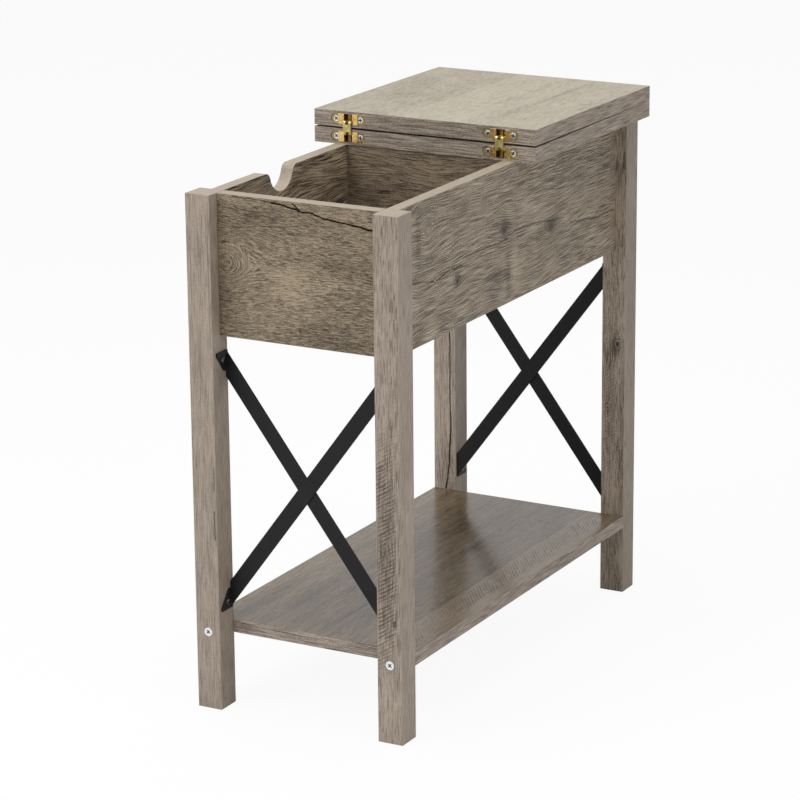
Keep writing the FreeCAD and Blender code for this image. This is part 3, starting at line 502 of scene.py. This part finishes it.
# Leaf tape: a tape with close straight fibres, darker than the top.
leaf_tape = oak_paper(
    "leaf_oak_tape", ("#5E5146", "#9C8E80", "#B8AC9D"), (34.0, 0.75), (0.05, 0.08, 0.56, 0.15),
    sway=(0.5, 0.1), pores=(24.0, 0.8, 0.36))
# Joint oak: the top's print with painted shade, almost black, along the edges where the two leaves meet.
gap_shaded_oak = oak_paper(
    "joint_oak_paper", ("#1A1511", "#9F9684", "#B4AB97"), top_lines, (0.1, 0.04, 0.3, 0.2), top_sway,
    top_pores, planks=((-30.0, 0.04), (72.0, -0.02)),
    patches=((-150.0, 0.0, 3.0, 900.0, -0.9), (0.0, -140.0, 900.0, 1.4, -0.4),
             (0.0, 140.0, 900.0, 1.4, -0.4)))
leaf_arris = 0.00015
dress_board("fixed_leaf", y_axis, top_oak, leaf_tape, 251.0, marked=(z_axis, 1, gap_shaded_oak),
            arris=leaf_arris)
dress_board("flip_leaf", y_axis, top_oak, leaf_tape, 271.0, marked=(z_axis, -1, gap_shaded_oak),
            arris=leaf_arris)

# Braces. At each end two flat steel straps cross between the legs, their ends bent square to the leg
# and coated with matt black powder.


def soften(node, material, arris, inner=()):
    """A metal piece cut as its CAD solid is, with its sharp edges broken.

    inner gives darker metals, as painted shade, to what lies behind its front face: the depth
    and the metal of each."""
    ridge = math.radians(35)
    mesh = rounded_solid(node, arris, lambda edge: edge.calc_face_angle(0.0) > ridge)
    data = bpy.data.meshes.new(node + "_metal")
    data.materials.append(material)
    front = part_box(node)[0].y
    for number, (depth, metal) in enumerate(inner, start=1):
        data.materials.append(metal)
        for face in mesh.faces:
            if face.calc_center_median().y > front + depth:
                face.material_index = number
    mesh.to_mesh(data)
    mesh.free()
    piece = bpy.data.objects.new(node + "_metal", data)
    bpy.context.scene.collection.objects.link(piece)
    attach(piece, frame["nodes"][node]["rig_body"])
    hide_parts(node)


# Powder coat: baked polyester powder, a near-black satin skin with a fine orange peel.
powder_coat = blank("black_powder_coat")
tree = powder_coat.node_tree
peel_size, dust_size = 0.0012, 0.03
noise_low, noise_high = 0.3, 0.7
where = add(tree, "ShaderNodeTexCoord", out="Object")
peel = add(tree, "ShaderNodeTexNoise", {"Vector": where, "Scale": 1 / peel_size, "Detail": 2.0})
dust = add(tree, "ShaderNodeTexNoise", {"Vector": where, "Scale": 1 / dust_size, "Detail": 3.0})
shade = add(tree, "ShaderNodeMix", {0: dust, 6: linear("#0E0E0F"), 7: linear("#181819")}, out=2,
            data_type="RGBA")
rough = add(tree, "ShaderNodeMapRange", (peel, noise_low, noise_high, 0.42, 0.58))
relief = add(tree, "ShaderNodeBump", {"Height": peel, "Strength": 0.3, "Distance": 0.0001})
coat = add(tree, "ShaderNodeBsdfPrincipled",
           {"Base Color": shade, "Roughness": rough, "Specular IOR Level": 0.25, "Normal": relief})
add(tree, "ShaderNodeOutputMaterial", {"Surface": coat})
strap_arris = 0.0004
for end in ("front", "back"):
    for side in ("inner", "outer"):
        soften(f"{end}_brace_strap_{side}", powder_coat, strap_arris)

# Hinges. Four round-ended brass bodies let into the leaf edges, two facing pairs, each pair joined by
# two flat links that slide on each other and turn on steel pins.


def cast_brass(name, deep, bright, dull):
    """Die-cast and tumbled brass, bright on its faces and dull in its slots, faintly grained all over.

    The darker, duller copies in the lobes and slots carry painted shade.
    """
    material = blank(name)
    tree = material.node_tree
    cast_size, swirl_size, rough_range = 0.004, 0.0009, 0.18
    where = add(tree, "ShaderNodeTexCoord", out="Object")
    cast = add(tree, "ShaderNodeTexNoise", {"Vector": where, "Scale": 1 / cast_size, "Detail": 3.0})
    swirl = add(tree, "ShaderNodeTexNoise", {"Vector": where, "Scale": 1 / swirl_size, "Detail": 2.0})
    cast = add(tree, "ShaderNodeMapRange", (cast, noise_low, noise_high, 0.0, 1.0))
    shade = add(tree, "ShaderNodeMix", {0: cast, 6: linear(deep), 7: linear(bright)}, out=2, data_type="RGBA")
    rough = add(tree, "ShaderNodeMapRange", (swirl, noise_low, noise_high, dull, dull + rough_range))
    relief = add(tree, "ShaderNodeBump", {"Height": swirl, "Strength": 0.1, "Distance": 0.0001})
    shine = add(tree, "ShaderNodeBsdfPrincipled",
                {"Base Color": shade, "Metallic": 1.0, "Roughness": rough, "Normal": relief})
    add(tree, "ShaderNodeOutputMaterial", {"Surface": shine})
    return material


# Brass: bright on the faces, duller in the screw lobes and brown in the slots, where the darker colours
# are painted shade, and greener on the links.
brass = cast_brass("tumbled_brass", "#DDA64C", "#FFE2A0", 0.2)
shaded_lobe_brass = cast_brass("dull_lobe_brass", "#8C7440", "#B9A469", 0.34)
shaded_slot_brass = cast_brass("dull_slot_brass", "#7A5A28", "#A88546", 0.4)
link_brass = cast_brass("pressed_link_brass", "#B3A163", "#D6CA93", 0.34)
body_arris, link_arris = 0.0004, 0.0003
lobe_depth, slot_depth = 0.0006, 0.0014
for side in ("left", "right"):
    for leaf in ("fixed", "flip"):
        soften(f"{leaf}_hinge_body_{side}", brass, body_arris,
               inner=((lobe_depth, shaded_lobe_brass), (slot_depth, shaded_slot_brass)))
    for half in ("lower", "upper"):
        soften(f"{half}_link_{side}", link_brass, link_arris)

# Screws. Cross-recess screws of zinc-plated steel hold the shelf through the legs and the hinges in
# the leaves; blackened ones with low heads hold the straps.


def plated(name, deep, bright, metallic, roughness):
    """Electroplated steel: a thin bright skin, slightly cloudy, with fine wear from the driver."""
    material = blank(name)
    tree = material.node_tree
    haze_size, rough_range = 0.002, 0.06
    where = add(tree, "ShaderNodeTexCoord", out="Object")
    haze = add(tree, "ShaderNodeTexNoise", {"Vector": where, "Scale": 1 / haze_size, "Detail": 3.0})
    shade = add(tree, "ShaderNodeMix", {0: haze, 6: linear(deep), 7: linear(bright)}, out=2, data_type="RGBA")
    rough = add(tree, "ShaderNodeMapRange",
                (haze, noise_low, noise_high, roughness - rough_range, roughness + rough_range))
    relief = add(tree, "ShaderNodeBump", {"Height": haze, "Strength": 0.15, "Distance": 0.0001})
    shader = add(tree, "ShaderNodeBsdfPrincipled",
                 {"Base Color": shade, "Metallic": metallic, "Roughness": rough, "Normal": relief})
    add(tree, "ShaderNodeOutputMaterial", {"Surface": shader})
    return material


# Plates: bright zinc with blue in its recess, darkened as painted shade, and black zinc with a recess
# darkened as painted shade.
zinc_plate = plated("bright_zinc_plate", "#DCE1E6", "#FBFCFD", 0.8, 0.26)
shaded_zinc_recess = plated("blue_zinc_recess", "#2A3A56", "#5A7090", 1.0, 0.4)
black_plate = plated("black_zinc_plate", "#3A3A3E", "#77777C", 0.8, 0.24)
shaded_black_recess = plated("black_zinc_recess", "#0B0B0C", "#18181A", 0.4, 0.5)

# The screw: a turned head, flat or crowned, with a cross cut in it, and a plain shank, set at each place.
screws = bpy.data.node_groups.new("cross_recess_screws", "GeometryNodeTree")
screws.is_modifier = True
screws.interface.new_socket("Places", in_out="INPUT", socket_type="NodeSocketGeometry")
for label in ("Head radius", "Under radius", "Head height", "Crown", "Shank radius", "Shank length",
              "Recess span", "Recess width", "Recess depth"):
    screws.interface.new_socket(label, in_out="INPUT", socket_type="NodeSocketFloat")
for label in ("Plate", "Recess"):
    screws.interface.new_socket(label, in_out="INPUT", socket_type="NodeSocketMaterial")
screws.interface.new_socket("Screws", in_out="OUTPUT", socket_type="NodeSocketGeometry")
given = add(screws, "NodeGroupInput").node.outputs
tree = screws
head = add(tree, "GeometryNodeMeshCone",
           {"Vertices": 28, "Side Segments": 1, "Fill Segments": 4, "Radius Top": given["Head radius"],
            "Radius Bottom": given["Under radius"], "Depth": given["Head height"]}, fill_type="NGON")
point = add(tree, "GeometryNodeInputPosition")
height = add(tree, "ShaderNodeSeparateXYZ", (point,), out=2)
flat = add(tree, "ShaderNodeVectorMath", (point, (1.0, 1.0, 0.0)), operation="MULTIPLY")
reach = add(tree, "ShaderNodeVectorMath", {0: flat}, out="Value", operation="LENGTH")
reach = add(tree, "ShaderNodeMath", (reach, given["Head radius"]), operation="DIVIDE")
reach = add(tree, "ShaderNodeMath", (reach, reach), operation="MULTIPLY")
rise = add(tree, "ShaderNodeMath", (1.0, reach), operation="SUBTRACT")
rise = add(tree, "ShaderNodeMath", (rise, given["Crown"]), operation="MULTIPLY")
lift = add(tree, "ShaderNodeCombineXYZ", (0.0, 0.0, rise))
half = add(tree, "ShaderNodeMath", (given["Head height"], 0.5), operation="MULTIPLY")
upper = add(tree, "FunctionNodeCompare", {0: height, 1: half}, operation="GREATER_THAN")
head = add(tree, "GeometryNodeSetPosition", {"Geometry": head, "Selection": upper, "Offset": lift})
drop = add(tree, "ShaderNodeMath", (given["Head height"], -1.0), operation="MULTIPLY")
drop = add(tree, "ShaderNodeCombineXYZ", (0.0, 0.0, drop))
head = add(tree, "GeometryNodeTransform", {"Geometry": head, "Translation": drop})
deep = add(tree, "ShaderNodeMath", (given["Recess depth"], 2.0), operation="MULTIPLY")
top = add(tree, "ShaderNodeCombineXYZ", (0.0, 0.0, given["Crown"]))
span, width = given["Recess span"], given["Recess width"]
bars = []
for size in ((span, width, deep), (width, span, deep)):
    bar = add(tree, "GeometryNodeMeshCube", {"Size": add(tree, "ShaderNodeCombineXYZ", size)})
    bar = add(tree, "GeometryNodeTransform", {"Geometry": bar, "Translation": top})
    bars.append(add(tree, "GeometryNodeSetMaterial", {"Geometry": bar, "Material": given["Recess"]}))
head = add(tree, "GeometryNodeSetMaterial", {"Geometry": head, "Material": given["Plate"]})
cut = add(tree, "GeometryNodeMeshBoolean", {"Mesh 1": head}, operation="DIFFERENCE", solver="EXACT")
for bar in bars:
    tree.links.new(bar, cut.node.inputs["Mesh 2"])
shank = add(tree, "GeometryNodeMeshCylinder",
            {"Vertices": 16, "Radius": given["Shank radius"], "Depth": given["Shank length"]})
sink = add(tree, "ShaderNodeMath", (given["Shank length"], -0.5), operation="MULTIPLY")
sink = add(tree, "ShaderNodeMath", (sink, given["Head height"]), operation="SUBTRACT")
sink = add(tree, "ShaderNodeCombineXYZ", (0.0, 0.0, sink))
shank = add(tree, "GeometryNodeTransform", {"Geometry": shank, "Translation": sink})
shank = add(tree, "GeometryNodeSetMaterial", {"Geometry": shank, "Material": given["Plate"]})
screw = add(tree, "GeometryNodeJoinGeometry", {"Geometry": cut})
tree.links.new(shank, screw.node.inputs["Geometry"])
facing = add(tree, "GeometryNodeInputNamedAttribute", {"Name": "facing"}, data_type="FLOAT_VECTOR")
turn = add(tree, "FunctionNodeAlignRotationToVector", {"Vector": facing}, axis="Z")
stop = add(tree, "FunctionNodeRandomValue", {"Min": 0.0, "Max": math.pi / 2, "Seed": 5}, out="Value",
           data_type="FLOAT")
stop = add(tree, "ShaderNodeCombineXYZ", (0.0, 0.0, stop))
stop = add(tree, "FunctionNodeEulerToRotation", (stop,))
turn = add(tree, "FunctionNodeRotateRotation", (turn, stop), rotation_space="LOCAL")
laid = add(tree, "GeometryNodeInstanceOnPoints",
           {"Points": given["Places"], "Instance": screw, "Rotation": turn})
laid = add(tree, "GeometryNodeRealizeInstances", {"Geometry": laid})
kept = add(tree, "GeometryNodeMaterialSelection", {"Material": given["Recess"]})
kept = add(tree, "FunctionNodeBooleanMath", (kept,), operation="NOT")
laid = add(tree, "GeometryNodeSetMaterial", {"Geometry": laid, "Selection": kept, "Material": given["Plate"]})
add(tree, "NodeGroupOutput", {"Screws": laid})


def drive_screws(name, places, sizes, body, nodes):
    """Sets a screw at each place, given as a point on the head's face and the way the head faces."""
    data = bpy.data.meshes.new(name)
    data.from_pydata([p for p, _ in places], [], [])
    facing = data.attributes.new("facing", "FLOAT_VECTOR", "POINT")
    for item, (_, way) in zip(facing.data, places):
        item.vector = way
    holder = bpy.data.objects.new(name + "_places", data)
    modifier = holder.modifiers.new("screws", "NODES")
    modifier.node_group = screws
    for socket in screws.interface.items_tree:
        if socket.in_out == "INPUT" and socket.name in sizes:
            modifier[socket.identifier] = sizes[socket.name]
    bpy.context.scene.collection.objects.link(holder)
    graph = bpy.context.evaluated_depsgraph_get()
    made = bpy.data.meshes.new_from_object(holder.evaluated_get(graph))
    holder.modifiers.remove(modifier)
    bpy.data.objects.remove(holder)
    piece = bpy.data.objects.new(name, made)
    bpy.context.scene.collection.objects.link(piece)
    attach(piece, body)
    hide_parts(*nodes)


leg_middle, shelf_middle = 0.114, 0.0895
shelf_low, shelf_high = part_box("shelf_screws")
shelf_places = [((x, y, shelf_middle), (0, way, 0)) for x in (-leg_middle, leg_middle)
                for y, way in ((shelf_low.y, -1), (shelf_high.y, 1))]
shelf_screw = {"Head radius": 0.005, "Under radius": 0.0028, "Head height": 0.0024, "Crown": 0.0,
               "Shank radius": 0.0023, "Shank length": 0.04, "Recess span": 0.0052, "Recess width": 0.0013,
               "Recess depth": 0.0014, "Plate": zinc_plate, "Recess": shaded_zinc_recess}
drive_screws("shelf_screw_set", shelf_places, shelf_screw, "base", ["shelf_screws"])

# Hinge screws, sunk in the lobes of the bodies; those of the flip leaf lean with it as it lies folded.
hinge_x, screw_x, lobe_face, screw_drop = 0.0965, 0.0155, 0.002, 0.010
folded_lean = math.radians(-0.36287)
hinge_screw = {"Head radius": 0.0035, "Under radius": 0.0018, "Head height": 0.0018, "Crown": 0.0002,
               "Shank radius": 0.0015, "Shank length": 0.012, "Recess span": 0.0044, "Recess width": 0.0014,
               "Recess depth": 0.001, "Plate": zinc_plate, "Recess": shaded_zinc_recess}
leaf_axis = Vector(frame["joints"][0]["pos_m"])
lean = Matrix.Rotation(folded_lean, 4, "X")
heads = [side * hinge_x + hand * screw_x for side in (-1, 1) for hand in (-1, 1)]
fixed_places = [(leaf_axis + Vector((x, lobe_face, -screw_drop)), (0, -1, 0)) for x in heads]
flip_places = [(leaf_axis + lean @ Vector((x, lobe_face, screw_drop)), lean @ Vector((0, -1, 0)))
               for x in heads]
drive_screws("fixed_hinge_screw_set", fixed_places, hinge_screw, "base", ["fixed_hinge_screws"])
drive_screws("flip_hinge_screw_set", flip_places, hinge_screw, "flip_top", ["flip_hinge_screws"])

# Brace screws, one in the bent end of each strap; the back brace mirrors the front one end for end.
tab_x, inner_y, outer_y, low_z, high_z, table_middle = 0.097, -0.2805, -0.2825, 0.12276, 0.39824, -0.004
brace_head = 0.001
tabs = [(-tab_x, inner_y, high_z), (tab_x, outer_y, high_z), (-tab_x, outer_y, low_z),
        (tab_x, inner_y, low_z)]
tabs += [(-x, 2 * table_middle - y, z) for x, y, z in tabs]
brace_places = [((x - math.copysign(brace_head, x), y, z), (-math.copysign(1, x), 0, 0)) for x, y, z in tabs]
brace_screw = {"Head radius": 0.0035, "Under radius": 0.0035, "Head height": brace_head, "Crown": 0.0008,
               "Shank radius": 0.0015, "Shank length": 0.016, "Recess span": 0.0038, "Recess width": 0.001,
               "Recess depth": 0.0009, "Plate": black_plate, "Recess": shaded_black_recess}
drive_screws("brace_screw_set", brace_places, brace_screw, "base",
             ["front_brace_screws", "back_brace_screws"])

# Hidden fixings. Beech dowels and cam bolts with their zinc discs draw the boards together, and steel
# pins carry the hinge links; they show only as discs inside the box.
# Beech: turned hardwood left bare, warm and pale with fine flecks along the dowel.
beech = blank("beech_dowel_wood")
tree = beech.node_tree
fleck_size = 0.002
where = add(tree, "ShaderNodeTexCoord", out="Object")
fleck = add(tree, "ShaderNodeTexNoise", {"Vector": where, "Scale": 1 / fleck_size, "Detail": 2.0})
shade = add(tree, "ShaderNodeMix", {0: fleck, 6: linear("#B08C5E"), 7: linear("#DCC093")}, out=2,
            data_type="RGBA")
rough = add(tree, "ShaderNodeMapRange", (fleck, noise_low, noise_high, 0.55, 0.7))
relief = add(tree, "ShaderNodeBump", {"Height": fleck, "Strength": 0.2, "Distance": 0.0001})
bare = add(tree, "ShaderNodeBsdfPrincipled", {"Base Color": shade, "Roughness": rough, "Normal": relief})
add(tree, "ShaderNodeOutputMaterial", {"Surface": bare})
# Cam zinc and pin steel: a dull cast grey, and plain bright steel.
cam_zinc = plated("die_cast_zinc", "#8C8F93", "#B4B6B9", 1.0, 0.5)
pin_steel = plated("hinge_pin_steel", "#A8ABAF", "#D8DADC", 1.0, 0.28)
for names, material in ((("panel_dowels", "leaf_dowels", "slim_dowels"), beech), (("cam_discs",), cam_zinc),
                        (("cam_bolts", "fixed_hinge_pins", "flip_hinge_pins"), pin_steel)):
    for node in names:
        slots = frame["nodes"][node].data.materials
        slots.clear()
        slots.append(material)

# Studio. A pale floor that keeps a faint shadow, a white surround, one large softbox above and two
# fills, and a long lens from the front right above the table.
floor_half, floor_drop = 9, 0.0005
corners = [(x * floor_half, y * floor_half, -floor_drop) for x, y in ((-1, -1), (1, -1), (1, 1), (-1, 1))]
floor_mesh = bpy.data.meshes.new("studio_floor")
floor_mesh.from_pydata(corners, [], [(0, 1, 2, 3)])
floor = bpy.data.objects.new("studio_floor", floor_mesh)
bpy.context.scene.collection.objects.link(floor)
# Studio paper: matt white card, lit up for the camera so that only a faint shadow shows.
white, lit_share = (1.0, 1.0, 1.0, 1.0), 0.93
paper = blank("studio_paper")
tree = paper.node_tree
path = add(tree, "ShaderNodeLightPath").node.outputs
matt = add(tree, "ShaderNodeBsdfDiffuse", {"Color": linear("#F7F7F7")})
glow = add(tree, "ShaderNodeEmission", {"Color": white, "Strength": 1.0})
seen = add(tree, "ShaderNodeMath", (path["Is Camera Ray"], lit_share), operation="MULTIPLY")
sheet = add(tree, "ShaderNodeMixShader", (seen, matt, glow))
add(tree, "ShaderNodeOutputMaterial", {"Surface": sheet})
floor_mesh.materials.append(paper)

# The surround is white where it is seen or mirrored, and lights the table at a lower level.
ambient = 0.30
world = bpy.data.worlds.new("studio_surround")
bpy.context.scene.world = world
world.use_nodes = True
tree = world.node_tree
tree.nodes.clear()
path = add(tree, "ShaderNodeLightPath").node.outputs
seen = add(tree, "ShaderNodeMath", (path["Is Camera Ray"], path["Is Glossy Ray"]), operation="MAXIMUM")
seen = add(tree, "ShaderNodeMath", (seen, path["Is Transmission Ray"]), operation="MAXIMUM")
level = add(tree, "ShaderNodeMapRange", (seen, 0.0, 1.0, ambient, 1.0))
sky = add(tree, "ShaderNodeBackground", {"Color": white, "Strength": level})
add(tree, "ShaderNodeOutputWorld", {"Surface": sky})

for name, spot, aim, size, power in (("softbox_above", (-0.3, -0.2, 2.6), (0.0, 0.0, 0.5), 2.2, 40.0),
                                     ("fill_front", (-0.9, -2.6, 2.2), (0.0, 0.0, 0.35), 1.6, 34.5),
                                     ("fill_right", (2.8, -0.7, 1.4), (0.0, 0.0, 0.35), 1.6, 18.0)):
    lamp = bpy.data.lights.new(name, "AREA")
    lamp.size = size
    lamp.energy = power
    light = bpy.data.objects.new(name, lamp)
    way = (Vector(aim) - Vector(spot)).to_track_quat("-Z", "Y")
    light.matrix_world = Matrix.Translation(spot) @ way.to_matrix().to_4x4()
    bpy.context.scene.collection.objects.link(light)

# The camera looks down on the table with a slight roll; its place, turn, tilt and lens fit the photo.
camera_spot = (1.718, -3.1779, 1.3412)
turned, tilted, rolled = (math.radians(angle) for angle in (28.872, 16.173, -0.536))
ahead = Vector((-math.sin(turned) * math.cos(tilted), math.cos(turned) * math.cos(tilted), -math.sin(tilted)))
right = Vector((math.cos(turned), math.sin(turned), 0.0))
above = right.cross(ahead)
level_right = math.cos(rolled) * right + math.sin(rolled) * above
level_up = -math.sin(rolled) * right + math.cos(rolled) * above
lens = bpy.data.cameras.new("long_lens")
lens.sensor_fit = "HORIZONTAL"
lens.sensor_width = 36.0
lens.lens = 148.13
lens.clip_end = 60.0
camera = bpy.data.objects.new("long_lens", lens)
facing = Matrix((level_right, level_up, -ahead)).transposed()
camera.matrix_world = Matrix.Translation(camera_spot) @ facing.to_4x4()
bpy.context.scene.collection.objects.link(camera)
bpy.context.scene.camera = camera
